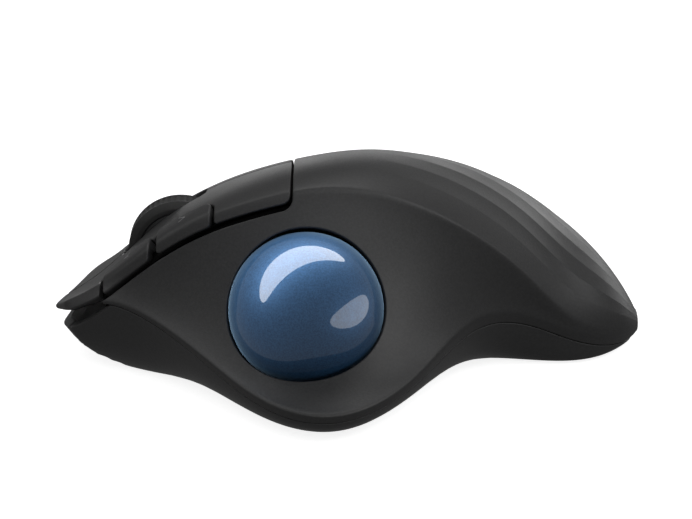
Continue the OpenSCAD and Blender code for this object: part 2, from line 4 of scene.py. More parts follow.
import bpy
import numpy as np
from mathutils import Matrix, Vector


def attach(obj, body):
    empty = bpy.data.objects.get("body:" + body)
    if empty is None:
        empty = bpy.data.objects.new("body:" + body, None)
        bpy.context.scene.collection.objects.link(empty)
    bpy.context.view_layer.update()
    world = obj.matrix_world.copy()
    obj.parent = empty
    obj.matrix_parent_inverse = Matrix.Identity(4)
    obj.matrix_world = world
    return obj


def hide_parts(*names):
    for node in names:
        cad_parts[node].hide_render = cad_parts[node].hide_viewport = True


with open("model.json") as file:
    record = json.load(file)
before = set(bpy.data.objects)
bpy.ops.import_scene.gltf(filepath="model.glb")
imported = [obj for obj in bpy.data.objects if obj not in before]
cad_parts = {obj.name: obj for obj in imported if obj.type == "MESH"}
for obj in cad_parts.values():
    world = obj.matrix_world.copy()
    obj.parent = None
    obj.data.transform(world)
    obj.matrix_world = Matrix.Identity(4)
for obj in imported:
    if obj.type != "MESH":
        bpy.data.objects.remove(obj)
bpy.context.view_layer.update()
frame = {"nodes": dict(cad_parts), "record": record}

# Shape data is in millimetres, as in the CAD source, and every mesh is made in metres.
MM = 0.001

# ---------------------------------------------------------------- body surface
# One entry per station along X. The rails are the CAD source's, and so are the curves by them.
# They were typed in and tuned, but not found by eye alone. The first wing, fold and sole
# follow points of the photograph that a scratch program had turned into millimetres, and the
# crown began from a scratch program's search.
STATION_X = np.array([-68, -56, -44, -32, -20, -8, 4, 16, 28, 40, 50.5, 59.5, 66, 68.6])
WING = np.array([[-8, 10.5], [-13.5, 20.6], [-19, 18], [-30.5, 13.8], [-43.5, 8.7],
                 [-51.2, 7.4], [-49.5, 8], [-36, 9.8], [-15.5, 16.8], [-9, 14.4], [-9, 9.2],
                 [-5.6, 6.2], [0.2, 5], [6.5, 4.6]])
FOLD = np.array([[-7, 14.4], [-11, 20.4], [-13, 31.4], [-14, 39.1], [-14.5, 43.2],
                 [-14.5, 46.4], [-14, 46], [-12.5, 41.6], [-10.5, 34.4], [-9, 24.4],
                 [-8.9, 11.6], [-5.4, 8], [0.4, 6.2], [6.5, 4.6]])
SHOULDER = np.array([[36, 4.8], [39.5, 7], [43, 8.5], [45.5, 9], [47.8, 9.5], [49.4, 10],
                     [49.8, 10], [50, 9.5], [49.5, 9], [46, 8], [39.5, 7], [29, 6.2],
                     [17.5, 5.2], [6.5, 4.6]])
SCOOP = np.array([[66, 1.2, 66, 1.2], [55, 1.5, 68, 1.5], [36, 4, 70, 4], [24, 8, 70, 9],
                  [15, 12, 68, 12], [12, 14, 66, 14], [14, 13, 66, 13], [24, 10, 68, 10],
                  [55, 6, 76, 6], [80, 3.5, 84, 3.5], [84, 1.6, 84, 1.6], [84, 1, 82, 1],
                  [84, 0.6, 80, 0.6], [84, 0, 80, 0]])
CROWN = np.array([[-30, 8, 14, 8], [-14, 11, 40, 13], [13, 14, 68, 17.5], [17, 16, 79, 21],
                  [19, 18, 79, 24.5], [18, 20, 78, 25], [22, 23, 78, 27], [27, 25, 78, 28],
                  [35, 25.5, 78, 28.5], [46, 25.5, 78, 26.5], [62, 24.5, 78, 23.5],
                  [75, 17.5, 78, 15.5], [78, 7, 78, 6], [78, 0, 78, 0]])
SOLE = np.array([[-1, 33, 0.8], [-5, 35, 0.8], [-13, 37, 0.8], [-16.5, 39, 0.8], [-33, 41, 0.8],
                 [-44, 43, 0.8], [-40.5, 44.5, 0.8], [-12.5, 45, 0.8], [-3.5, 44.5, 0.8],
                 [-5.5, 41, 0.8], [-7.5, 34.5, 0.8], [-4, 25, 0.8], [3.5, 12, 2],
                 [6.5, 6.5, 5.4]])
BAND = np.array([0.3, 0.6, 1.2, 1.8, 2.2, 2.3, 2.2, 2.3, 3, 2.6, 2.5, 2.8, 2.2, 0])
LAST = len(STATION_X) - 1
SOLE_Z = 0.8

# Front outline in plan: circles (x, y, radius). Below the keys it runs back like a bow, by
# these distances at these heights.
FRONT_ARCS = ((-56.5, 0, 10), (-51, 14, 14), (-43, 27, 14))
BOW_Z = (0.8, 3, 6, 10, 13)
BOW_BACK = (13, 7.6, 3.7, 0.7, 0)
FRONT_SOFTNESS = 0.55

# Seams
PALM_X = -12
MIDDLE_Y = 6
KEY_GAP = 0.5
# Ahead of NOSE_FROM the gap below the keys widens, over NOSE_RUN, by NOSE_ROOM
NOSE_ROOM = 0.8
NOSE_FROM = -40
NOSE_RUN = 20
KEY_SKIRT = 2.4
FAR_KEY_STEP = np.array([-0.6, 3.2])
SCOOP_LIP = 1.6
PARTING_GAP = 0.1
# Spread of the smoothing that rounds the creases of each section
CREASE = 0.5

# Thickness of the plates, and radius of their rounded edges
SHELL_THICK = 2
HOUSING_THICK = 2.2
KEY_THICK = 1.6
BUTTON_THICK = 2.4
EDGE = 0.35
HOUSING_EDGE = 0.25
BUTTON_EDGE = 0.45
INNER_EDGE = 0.2

# Openings
SLOT = ((-51, -31.8), (MIDDLE_Y - 4.75, MIDDLE_Y + 4.75))
FORWARD_X = (-54.4, -43.9)
BACK_X = (-42.2, -30)
BUTTON_TOP = 4.2
BUTTON_GAP = 0.8
BUTTON_PROUD = 0.8
# Between the two buttons the key is cut away below this distance from BUTTON_TOP
STRIP_DROP = 15
BALL_AT = np.array([-8.7, -26, 22])
BALL_R = 17
BALL_GAP = 0.45
BALL_LEAN = math.radians(39)
BALL_TURN = math.radians(-3)
EJECT_R = 7
DOOR_X, DOOR_Y, DOOR_CORNER, DOOR_GAP = (-17, 46.5), (7.2, 36.6), 5, 0.25
DOOR_TRAVEL = 3.05
DOOR_Z = (0.8, 2.1)
SLIDER_SLOT, SLIDER_CORNER = ((-41.2, -32.8), (18, 22)), 0.6
PAIR_AT, PAIR_R, PAIR_GAP = (-27, 22), 2, 0.3
SCREWS_AT = ((-34, -11.5), (24, -1), (56, 14.5), (-24, 34.5))
SCREW_HOLE_R = 2.5
FEET_AT = ((-46, 8), (-22, -20), (3.8, -26.5), (54, 3.5), (-38, 31))
FOOT_R, FOOT_GAP = 4.5, 0.1
FOOT_Z = (0, 1.18)
WHEEL_AT = np.array([-37.7, 6, 24])
WHEEL_R, WHEEL_HALF, HUB_R, AXLE_R = 12, 3.5, 9.4, 1.5


def on_rail(rail, s):
    """Cubic B-spline by a rail's entries, at stations s."""
    rail = np.asarray(rail, float)
    ends = (2 * rail[:1] - rail[1:2], rail, 2 * rail[-1:] - rail[-2:-1])
    r = np.concatenate(ends)
    i = np.clip(np.floor(s).astype(int), 0, LAST - 1)
    u = s - i
    if rail.ndim > 1:
        u = u[..., None]
    return ((1 - u) ** 3 * r[i] + (3 * u**3 - 6 * u**2 + 4) * r[i + 1]
            + (-3 * u**3 + 3 * u**2 + 3 * u + 1) * r[i + 2] + u**3 * r[i + 3]) / 6


def toward(degrees, reach):
    a = np.radians(degrees)
    return np.stack([np.cos(a), np.sin(a)], -1) * np.asarray(reach)[..., None]


def bezier(points, t):
    """Curves (n, len(t), 2) by control points (n, 2)."""
    t = t[None, :, None]
    if len(points) == 3:
        weights = ((1 - t) ** 2, 2 * (1 - t) * t, t**2)
    else:
        weights = ((1 - t) ** 3, 3 * (1 - t) ** 2 * t, 3 * (1 - t) * t**2, t**3)
    return sum(w * p[:, None, :] for w, p in zip(weights, points))


def crown_curve(s, t):
    f, fold, shoulder = on_rail(CROWN, s), on_rail(FOLD, s), on_rail(SHOULDER, s)
    return bezier((fold, fold + toward(f[:, 0], f[:, 1]),
                   shoulder - toward(-f[:, 2], f[:, 3]), shoulder), t)


def skirt(top, foot, t):
    """Runs from the foot at t = 0 up to the parting line."""
    belly = np.stack([top[:, 0] + 0.15 * (foot[:, 0] - top[:, 0]),
                      foot[:, 1] + 0.25 * (top[:, 1] - foot[:, 1])], -1)
    return bezier((foot, belly, top), t)


def near_part(s):
    return on_rail(WING, s) + np.stack([0 * s + 0.3, -on_rail(BAND, s)], -1) \
        * np.stack([on_rail(BAND, s), 0 * s + 1], -1)


def far_part(s):
    return on_rail(SHOULDER, s) + np.stack([0.1 * on_rail(BAND, s), -on_rail(BAND, s)], -1)


def near_key(s):
    return on_rail(FOLD, s) - toward(on_rail(SCOOP, s)[..., 2], 0 * s + KEY_SKIRT)


def far_key(s):
    return on_rail(SHOULDER, s) + FAR_KEY_STEP


def section_parts(s, m=90):
    """The seven stretches of each section, in order round it, as arrays (n, m, 2)."""
    t = np.linspace(0, 1, m)
    sole, f = on_rail(SOLE, s), on_rail(SCOOP, s)
    wing, fold = on_rail(WING, s), on_rail(FOLD, s)
    near_foot, far_foot = sole[:, [0, 2]], sole[:, [1, 2]]
    low = bezier((wing, wing + toward(f[:, 0], f[:, 1]), fold - toward(f[:, 2], f[:, 3]), fold), t)
    straight = lambda a, b: a[:, None] * (1 - t[None, :, None]) + b[:, None] * t[None, :, None]
    return [skirt(near_part(s), near_foot, t), straight(near_part(s), wing), low,
            crown_curve(s, t), straight(on_rail(SHOULDER, s), far_part(s)),
            skirt(far_part(s), far_foot, t)[:, ::-1], straight(far_foot, near_foot)]


# Rows of the body grid in each stretch. The crown's rows follow its flats instead.
ROWS = (10, 5, 72, 0, 4, 12, 104)
CROWN_STRETCH = 3
# Edges of the flats that run along the palm rest, as fractions of the way from the fold to
# the far shoulder. The flats fade in between two places along X.
FACET_EDGES = np.array([0.105, 0.185, 0.27] + [0.357 + 0.0873 * k for k in range(8)])
FACET_FADE = (4, 24)
FACET_ROUND = 0.0016


def stretch_rows(k):
    """Rows of stretch k, as fractions of its length."""
    if k != CROWN_STRETCH:
        return np.arange(ROWS[k]) / ROWS[k]
    first = FACET_EDGES[0]
    rows = [first * (np.arange(16) / 16) ** 1.4, [first - FACET_ROUND]]
    for a, b in zip(FACET_EDGES, FACET_EDGES[1:]):
        rows.append(np.linspace(a + FACET_ROUND, b - FACET_ROUND, 9))
    rows.append(np.linspace(FACET_EDGES[-1] + FACET_ROUND, 1, 7)[:-1])
    return np.concatenate(rows)


def smooth_section(parts, k, flatness):
    """Section k with its creases rounded, at the grid's rows."""
    loop, marks, length = [], [], 0.0
    for part in parts:
        p = part[k]
        steps = np.linalg.norm(np.diff(p, axis=0), axis=1)
        run = length + np.concatenate([[0], np.cumsum(steps)])
        loop.append((run[:-1], p[:-1]))
        marks.append((length, run[-1]))
        length = run[-1]
    run = np.concatenate([r for r, _ in loop] + [[length]])
    points = np.concatenate([p for _, p in loop] + [loop[0][1][:1]])
    n = 2048
    even = np.arange(n) * length / n
    freq = np.fft.rfftfreq(n, length / n)
    damp = np.exp(-2 * (math.pi * freq * CREASE) ** 2)
    fractions = [stretch_rows(i) for i in range(len(parts))]
    where = np.concatenate([a + (b - a) * f for (a, b), f in zip(marks, fractions)])
    start, end = marks[CROWN_STRETCH]
    edges = start + (end - start) * FACET_EDGES
    blend = flatness * ((where >= edges[0]) & (where <= edges[-1]))
    out = []
    for axis in (0, 1):
        wave = np.fft.irfft(np.fft.rfft(np.interp(even, run, points[:, axis])) * damp, n)
        wave, at = np.append(wave, wave[0]), np.append(even, length)
        smooth = np.interp(where, at, wave)
        flat = np.interp(where, edges, np.interp(edges, at, wave))
        out.append(smooth + blend * (flat - smooth))
    return np.stack(out, -1)


def front_limit(y, z):
    """Smallest x that the front outline allows at (y, z)."""
    turn = np.radians(np.arange(0, 360, 3))
    circles = [np.stack([a[0] + a[2] * np.cos(turn), a[1] + a[2] * np.sin(turn)], -1)
               for a in FRONT_ARCS]
    cloud = np.concatenate(circles + [np.array([[-38, -60], [-38, 60]])])
    edge = [cloud[np.argmin(cloud[:, 0] * math.cos(a) + cloud[:, 1] * math.sin(a))]
            for a in np.radians(np.arange(-89.5, 90, 0.5))]
    edge = np.array(sorted({tuple(p) for p in edge}, key=lambda p: p[1]))
    return np.interp(y, edge[:, 1], edge[:, 0]) + np.interp(z, BOW_Z, BOW_BACK)


def body_grid():
    """Grid of points (columns, rows, 3) over the whole closed body, in millimetres."""
    s_fine = np.linspace(0, LAST - 1 / 3, 4000)
    x_fine = on_rail(STATION_X, s_fine)
    x = np.concatenate([np.arange(-68, -62, 0.3), np.arange(-62, -10, 0.5),
                        np.arange(-10, x_fine[-1] - 0.9, 0.85), [x_fine[-1] - 0.6]])
    s = np.interp(x, x_fine, s_fine)
    parts = section_parts(s)
    fade = np.clip((x - FACET_FADE[0]) / (FACET_FADE[1] - FACET_FADE[0]), 0, 1)
    fade = fade**2 * (3 - 2 * fade)
    loops = np.stack([smooth_section(parts, k, fade[k]) for k in range(len(s))])
    grid = np.concatenate([np.broadcast_to(x[:, None, None], loops.shape[:2] + (1,)), loops], -1)
    # Both ends close as fans. The front fan is pushed back onto the outline below.
    front, rear = np.linspace(0.01, 1, 36)[:-1, None, None], np.linspace(1, 0.02, 9)[1:, None, None]
    centre = np.array([-68, 14, 4])
    tip = np.array([x[-1], *loops[-1].mean(0)])
    rear_fan = tip + rear * (grid[-1] - tip)
    rear_fan[..., 0] += 0.6 * np.sqrt(1 - rear[..., 0] ** 2)
    grid = np.concatenate([centre + front * (grid[0] - centre), grid, rear_fan])
    limit = front_limit(grid[..., 1], grid[..., 2])
    past = (grid[..., 0] - limit) / FRONT_SOFTNESS
    grid[..., 0] = limit + FRONT_SOFTNESS * np.logaddexp(0, past)
    return grid


def grid_slopes(values):
    """Derivatives along the columns and round the closed rows."""
    wrapped = np.concatenate([values[:, -1:], values, values[:, :1]], 1)
    return np.gradient(values, axis=0), np.gradient(wrapped, axis=1)[:, 1:-1]


def dot(a, b):
    return (a * b).sum(-1)


def unit(v):
    return v / np.maximum(np.linalg.norm(v, axis=-1, keepdims=True), 1e-12)


class Skin:
    """A closed grid with its outward normals, on which plates are cut out by level sets."""

    def __init__(self, points):
        self.p = points
        self.du, self.dv = grid_slopes(points)
        self.n = unit(np.cross(self.du, self.dv))
        self.uu, self.uv, self.vv = (dot(self.du, self.du), dot(self.du, self.dv),
                                     dot(self.dv, self.dv))
        self.area = np.maximum(self.uu * self.vv - self.uv**2, 1e-9)

    def gradient(self, f):
        fu, fv = grid_slopes(f)
        a = (self.vv * fu - self.uv * fv) / self.area
        b = (self.uu * fv - self.uv * fu) / self.area
        return a[..., None] * self.du + b[..., None] * self.dv

    def even(self, f):
        """f scaled so that it is a distance along the surface where it crosses zero."""
        steep = np.linalg.norm(self.gradient(f), axis=-1)
        return f / np.clip(steep, 0.3, 4)

    def offset(self, d):
        return Skin(self.p + d * self.n)


def both(a, b, corner=0.0):
    """Level set of the overlap of two regions, with its corners rounded."""
    if not corner:
        return np.minimum(a, b)
    near = np.hypot(np.maximum(corner - a, 0), np.maximum(corner - b, 0))
    return np.where(np.minimum(a, b) < corner, corner - near, np.minimum(a, b))


def either(a, b, corner=0.0):
    return -both(-a, -b, corner)


def station_of(x):
    s = np.linspace(0, LAST, 4000)
    return np.interp(x, on_rail(STATION_X, s), s)


def above(p, near, far, lift=0.0):
    """Height over the sheet that is ruled between two rails."""
    s = station_of(p[..., 0])
    a, b = near(s), far(s)
    across = unit(b - a)
    rel = p[..., 1:] - a - np.array([0, lift])
    return across[..., 0] * rel[..., 1] - across[..., 1] * rel[..., 0]


def in_rect(p, xs, ys, corner):
    cx, cy = sum(xs) / 2, sum(ys) / 2
    ax = (xs[1] - xs[0]) / 2 - np.abs(p[..., 0] - cx)
    ay = (ys[1] - ys[0]) / 2 - np.abs(p[..., 1] - cy)
    return both(ax, ay, corner)


def in_circle(p, centre, radius):
    return radius - np.hypot(p[..., 0] - centre[0], p[..., 1] - centre[1])


def fold_line(x):
    """Fold of the keys in plan."""
    return -14 + 0.12 * (-30 - x)


def in_button(p, xs):
    """Plan of a thumb button: it opens downwards and its top slopes with the fold."""
    x, y = p[..., 0], p[..., 1]
    sides = both(x - xs[0], xs[1] - x)
    top = (fold_line(x) + BUTTON_TOP - y) / math.hypot(1, 0.12)
    return both(sides, top, 1.6)


def ball_facing():
    """Direction that the ball's opening faces."""
    z = np.array([0, -math.cos(BALL_LEAN), math.sin(BALL_LEAN)])
    c, s = math.cos(BALL_TURN), math.sin(BALL_TURN)
    return np.array([c * z[0] - s * z[1], s * z[0] + c * z[1], z[2]])


# Rim behind the left key's lower gap, painted near-black as shade: where it ends in front and at
# the side, its depth below the surface, and how far it reaches down and up from the gap
RIM_FRONT, RIM_SIDE = -54, MIDDLE_Y - 14
RIM_DEPTH, RIM_DOWN, RIM_UP = 3.5, 5, 1.2
RIM_THICK = 0.8
# Shelf under both keys, painted near-black as shade, and how far rim and shelf run on past the palm
# rest's seam
DECK_DEPTH = 5.5
DECK_THICK = 1
INNER_REACH = 3

# ---------------------------------------------------------------- plates
PROFILE_STEPS = 5
# Plates thin out towards the tail, where the body is low
TAIL_X = 69
TAIL_TAPER = 16


def plate(name, skin, f, thickness, edge=EDGE):
    """The part of the skin where f > 0, as a closed plate with rounded edges."""
    level = f - edge
    outward = -skin.gradient(f)
    cols, rows = f.shape
    p, n = skin.p.reshape(-1, 3), skin.n.reshape(-1, 3)
    out_dir, flat = outward.reshape(-1, 3), level.ravel()
    index = np.arange(cols * rows).reshape(cols, rows)
    a, b = index[:-1], index[1:]
    c, d = np.roll(b, -1, axis=1), np.roll(a, -1, axis=1)
    cells = np.stack([a, b, c, d], -1).reshape(-1, 4)
    inside = (flat > 0)[cells]
    quads = cells[inside.all(1)]
    mixed = cells[inside.any(1) & ~inside.all(1)]
    corners, ring, faces = {}, [], []

    def crossing(i, j):
        key = (min(i, j), max(i, j))
        if key not in corners:
            t = np.clip(flat[i] / (flat[i] - flat[j]), 0.04, 0.96)
            normal = unit(n[i] * (1 - t) + n[j] * t)
            side = out_dir[i] * (1 - t) + out_dir[j] * t
            side = unit(side - dot(side, normal) * normal)
            corners[key] = len(ring)
            ring.append((p[i] * (1 - t) + p[j] * t, normal, side))
        return -1 - corners[key]

    borders = []
    for cell in mixed:
        for tri in ((cell[0], cell[1], cell[2]), (cell[0], cell[2], cell[3])):
            tri = [int(v) for v in tri]
            keep = [flat[v] > 0 for v in tri]
            if not any(keep):
                continue
            shape, cut = [], []
            for k in range(3):
                i, j = tri[k], tri[(k + 1) % 3]
                if keep[k]:
                    shape.append(i)
                if keep[k] != keep[(k + 1) % 3]:
                    shape.append(crossing(i, j))
                    cut.append((shape[-1], keep[k]))
            faces.append(shape)
            if cut:
                leave = next(v for v, going in cut if going)
                enter = next(v for v, going in cut if not going)
                borders.append((leave, enter))
    used = sorted({int(v) for q in quads for v in q} | {v for s in faces for v in s if v >= 0})
    number = {v: k for k, v in enumerate(used)}
    first_ring = len(used)
    count = first_ring + len(ring)
    ids = lambda v: number[v] if v >= 0 else first_ring + (-1 - v)
    outer = [[number[int(v)] for v in q] for q in quads] + [[ids(v) for v in s] for s in faces]
    top = np.concatenate([p[used], np.array([r[0] for r in ring])])
    top_n = np.concatenate([n[used], np.array([r[1] for r in ring])])
    base, up, side = (np.array([r[k] for r in ring]) for k in range(3))
    layers, normals = [], []
    for k in range(1, PROFILE_STEPS + 1):
        turn = k / PROFILE_STEPS * math.pi / 2
        layers.append(base + edge * (math.sin(turn) * side - (1 - math.cos(turn)) * up))
        normals.append(math.cos(turn) * up + math.sin(turn) * side)
    thin = lambda q: thickness * np.clip((TAIL_X - q[:, :1]) / TAIL_TAPER, 0.2, 1)
    layers.append(base + edge * side - thin(base) * up)
    normals.append(side)
    under = top - thin(top) * top_n
    under[:, 2] = np.maximum(under[:, 2], SOLE_Z + 0.1)
    verts = np.concatenate([top] + layers + [under])
    norms = np.concatenate([top_n] + normals + [-top_n])
    starts = [first_ring] + [count + k * len(ring) for k in range(len(layers))]
    starts.append(count + len(layers) * len(ring) + first_ring)
    below = count + len(layers) * len(ring)
    polys = list(outer)
    for leave, enter in borders:
        i, j = -1 - leave, -1 - enter
        for s0, s1 in zip(starts, starts[1:]):
            polys.append([s0 + j, s0 + i, s1 + i, s1 + j])
    polys += [[below + v for v in reversed(q)] for q in outer]
    return new_mesh(name, verts, polys, norms)


def new_mesh(name, points, faces, normals=None):
    """Mesh object from points in millimetres."""
    mesh = bpy.data.meshes.new(name)
    mesh.from_pydata((np.asarray(points) * MM).tolist(), [], faces)
    mesh.polygons.foreach_set("use_smooth", [True] * len(mesh.polygons))
    if normals is not None:
        mesh.normals_split_custom_set_from_vertices(unit(np.asarray(normals)).tolist())
    mesh.update()
    obj = bpy.data.objects.new(name, mesh)
    bpy.context.scene.collection.objects.link(obj)
    return obj


def base_openings(p):
    """Openings of the underside: positive inside them."""
    run = (DOOR_X[0], DOOR_X[1] + DOOR_TRAVEL)
    holes = [in_rect(p, run, DOOR_Y, DOOR_CORNER) + DOOR_GAP,
             in_rect(p, SLIDER_SLOT[0], SLIDER_SLOT[1], SLIDER_CORNER),
             in_circle(p, PAIR_AT, PAIR_R + PAIR_GAP),
             in_circle(p, BALL_AT, EJECT_R)]
    holes += [in_circle(p, c, SCREW_HOLE_R) for c in SCREWS_AT]
    holes += [in_circle(p, c, FOOT_R + FOOT_GAP) for c in FEET_AT]
    return np.max(holes, axis=0)


def nose_room(x):
    """Extra gap below the keys, growing to the front, where they dip the most."""
    return NOSE_ROOM * np.clip((NOSE_FROM - x) / NOSE_RUN, 0, 1)


def body_plates(skin):
    p = skin.p
    x, y = p[..., 0], p[..., 1]
    over_part = skin.even(above(p, near_part, far_part))
    over_key = skin.even(above(p, near_key, far_key))
    over_lip = skin.even(above(p, near_key, far_key, -SCOOP_LIP))
    behind = skin.even(x - PALM_X)
    right = skin.even(y - MIDDLE_Y)
    rel = p - BALL_AT
    facing = ball_facing()
    along = dot(rel, facing)
    radial = np.linalg.norm(rel - along[..., None] * facing, axis=-1)
    off_ball = np.where(along > -5, radial - BALL_R - BALL_GAP, 40.0)
    off_ball = np.clip(skin.even(np.clip(off_ball, -20, 20)), -20, 20)
    plates = {}

    shell = both(over_part - PARTING_GAP / 2,
                 either(behind - KEY_GAP / 2, -over_lip, 2.2), 0.3)
    shell = both(shell, off_ball)
    plates["top_shell"] = plate("palm_and_scoop", skin, shell, SHELL_THICK)

    base = both(-over_part - PARTING_GAP / 2, -over_lip - skin.even(nose_room(x)))
    base = both(base, -np.where(p[..., 2] < 3, base_openings(p), -30.0))
    plates["base_shell"] = plate("lower_housing", skin, base, HOUSING_THICK, HOUSING_EDGE)

    slot = skin.even(in_rect(p, *SLOT, 2))
    above_all = np.where(p[..., 2] > 12, slot, -1)
    key = both(over_key, -behind - KEY_GAP / 2, 1.6)
    key = both(key, -above_all, 0.6)
    buttons = either(in_button(p, FORWARD_X) + BUTTON_GAP, in_button(p, BACK_X) + BUTTON_GAP)
    strip = both(both(x - FORWARD_X[1], BACK_X[0] - x), BUTTON_TOP - STRIP_DROP - y)
    holes = skin.even(either(buttons, strip))
    left = both(both(key, -right - KEY_GAP / 2, 0.6), -holes)
    plates["left_key"] = plate("left_key_cap", skin, left, KEY_THICK)
    plates["right_key"] = plate("right_key_cap", skin, both(key, right - KEY_GAP / 2, 0.6),
                                KEY_THICK)

    proud = skin.offset(BUTTON_PROUD)
    q = proud.p
    low = proud.even(above(q, near_key, far_key, -0.2))
    for node, xs in (("forward_button", FORWARD_X), ("back_button", BACK_X)):
        region = both(low, proud.even(in_button(q, xs)), 0.8)
        plates[node] = plate(node + "_cap", proud, region, BUTTON_THICK, BUTTON_EDGE)
    return plates


def inner_pieces(skin):
    """Rim behind the gap below the left key, and shelf under both keys, both painted near-black as
    shade.
    """
    rim = skin.offset(-RIM_DEPTH)
    q = rim.p
    level = both(rim.even(above(q, near_key, far_key, -RIM_DOWN)),
                 -rim.even(above(q, near_key, far_key, RIM_UP)))
    level = both(level, rim.even(PALM_X + INNER_REACH - q[..., 0]))
    level = both(level, rim.even(both(q[..., 0] - RIM_FRONT, RIM_SIDE - q[..., 1])))
    keep = np.where((skin.n[..., 2] > -0.6) & (q[..., 2] > 4), level, -5.0)
    band = plate("key_gap_rim", rim, keep, RIM_THICK, INNER_EDGE)
    deep = skin.offset(-DECK_DEPTH)
    q = deep.p
    shelf = both(deep.even(above(q, near_key, far_key, 1)),
                 deep.even(PALM_X + INNER_REACH - q[..., 0]))
    shelf = both(shelf, -in_rect(q, SLOT[0], SLOT[1], 2))
    shelf = np.where(skin.n[..., 2] > 0.35, shelf, -5.0)
    return [band, plate("key_shelf", deep, shelf, DECK_THICK, INNER_EDGE)]


# ---------------------------------------------------------------- turned and flat pieces
def lathe(name, profile, centre, steps, dent=None):
    """Turns a closed profile of (radius, y) round the Y axis through a centre. dent gives how
    much nearer the axis each point lies."""
    angles = np.arange(steps) * 2 * math.pi / steps
    points, faces = [], []
    for i, a in enumerate(angles):
        for r, y in profile:
            r = r - (dent(i, r, y) if dent else 0)
            points.append((centre[0] + r * math.sin(a), centre[1] + y, centre[2] + r * math.cos(a)))
    m = len(profile)
    for i in range(steps):
        for k in range(m):
            j, n = (i + 1) % steps, (k + 1) % m
            faces.append((i * m + k, i * m + n, j * m + n, j * m + k))
    obj = new_mesh(name, points, faces)
    sharpen(obj)
    return obj


def sharpen(obj, degrees=35):
    obj.data.set_sharp_from_angle(angle=math.radians(degrees))


def arc(cx, cy, r, start, end, steps=5):
    turn = np.radians(np.linspace(start, end, steps))
    return [(cx + r * math.cos(a), cy + r * math.sin(a)) for a in turn]


def slab(name, xs, ys, corner, zs, bevel, corner_steps=10):
    """Flat piece with rounded corners, and a rounded edge below and above."""
    cx, cy = sum(xs) / 2, sum(ys) / 2
    hx, hy = (xs[1] - xs[0]) / 2, (ys[1] - ys[0]) / 2
    rings = [(b * bevel, zs[0] + h * bevel) for b, h in BEVEL]
    rings += [(b * bevel, zs[1] - h * bevel) for b, h in reversed(BEVEL)]
    points, faces, loop = [], [], 4 * corner_steps
    for inset, z in rings:
        r = max(corner - inset, 0.01)
        for quarter in range(4):
            sx, sy = ((1, 1), (-1, 1), (-1, -1), (1, -1))[quarter]
            for px, py in arc(0, 0, r, 90 * quarter, 90 * quarter + 90, corner_steps):
                points.append((cx + sx * (hx - corner) + px, cy + sy * (hy - corner) + py, z))
    for k in range(len(rings) - 1):
        for i in range(loop):
            j = (i + 1) % loop
            faces.append((k * loop + i, k * loop + j, (k + 1) * loop + j, (k + 1) * loop + i))
    faces.append(tuple(range(loop))[::-1])
    faces.append(tuple((len(rings) - 1) * loop + i for i in range(loop)))
    obj = new_mesh(name, points, faces)
    sharpen(obj)
    return obj


# Inset and rise of a rounded edge, in bevels
BEVEL = ((1, 0), (0.62, 0.08), (0.29, 0.29), (0.08, 0.62), (0, 1))


def join(name, objs):
    """One object from several that ride together."""
    points, faces = [], []
    for o in objs:
        base = len(points)
        points += [tuple(v.co / MM) for v in o.data.vertices]
        faces += [tuple(base + i for i in f.vertices) for f in o.data.polygons]
        bpy.data.objects.remove(o)
    obj = new_mesh(name, points, faces)
    sharpen(obj)
    return obj


def ball():
    """Sphere with its normals set, so that its reflections are clean."""
    rows, cols = 64, 128
    points = [(0, 0, 1)]
    for i in range(1, rows):
        a = math.pi * i / rows
        points += [(math.sin(a) * math.cos(b), math.sin(a) * math.sin(b), math.cos(a))
                   for b in 2 * math.pi * np.arange(cols) / cols]
    points.append((0, 0, -1))
    faces = [(0, 1 + k, 1 + (k + 1) % cols) for k in range(cols)]
    for i in range(rows - 2):
        for k in range(cols):
            a, b = 1 + i * cols + k, 1 + i * cols + (k + 1) % cols
            faces.append((a, a + cols, b + cols, b))
    end, ring = len(points) - 1, 1 + (rows - 2) * cols
    faces += [(end, ring + (k + 1) % cols, ring + k) for k in range(cols)]
    points = np.array(points)
    return new_mesh("blue_ball", BALL_AT + (BALL_R - 0.02) * points, faces, points)


# Steps of the turn from one rib to the next, and how much lower the tread is between ribs
RIB_STEP = 4
RIB_DEPTH = 0.22


def tyre():
    """Tyre with bevelled shoulders and short ribs across its tread."""
    bevel, half, foot = 1.3, WHEEL_HALF, HUB_R + 0.02
    flat = half - bevel
    tread = np.linspace(flat, -flat, 13)
    profile = [(foot, half - 0.25), (foot + 0.25, half)]
    profile += [(WHEEL_R - bevel - 0.25, half), (WHEEL_R - bevel + 0.1, half - 0.12),
                (WHEEL_R - 0.25, flat + 0.28)]
    profile += [(WHEEL_R, y) for y in tread]
    profile += [(r, -y) for r, y in reversed(profile[:5])]

    def dent(i, r, y):
        inner = min(max((flat - 0.35 - abs(y)) / 0.4, 0), 1)
        return RIB_DEPTH * inner * (i % RIB_STEP in (0, 1)) if r > WHEEL_R - 0.01 else 0

    return lathe("wheel_tread", profile, WHEEL_AT, 216, dent)


def hub():
    """Hub with a dished face, a raised rim and lightening pockets on each side."""
    half = WHEEL_HALF - 0.4
    side = [(AXLE_R + 0.02, half), (2.8, half), (3, half - 0.2), (3.1, half - 1.6),
            (3.6, half - 1.9), (5.4, half - 1.7), (7, half - 1.3), (7.6, half - 1),
            (7.8, half - 0.2), (8, half), (HUB_R - 0.3, half), (HUB_R, half - 0.2)]
    profile = side + [(r, -y) for r, y in reversed(side)]
    return lathe("wheel_hub_dished", profile, WHEEL_AT, 96)


# Grip ridges of the battery door: first, last and spacing along X, and their run across it
RIDGE_X = (36, 43.1, 1.9)
RIDGE_Y = (14.9, 28.9)
RIDGE_PROUD = 0.3


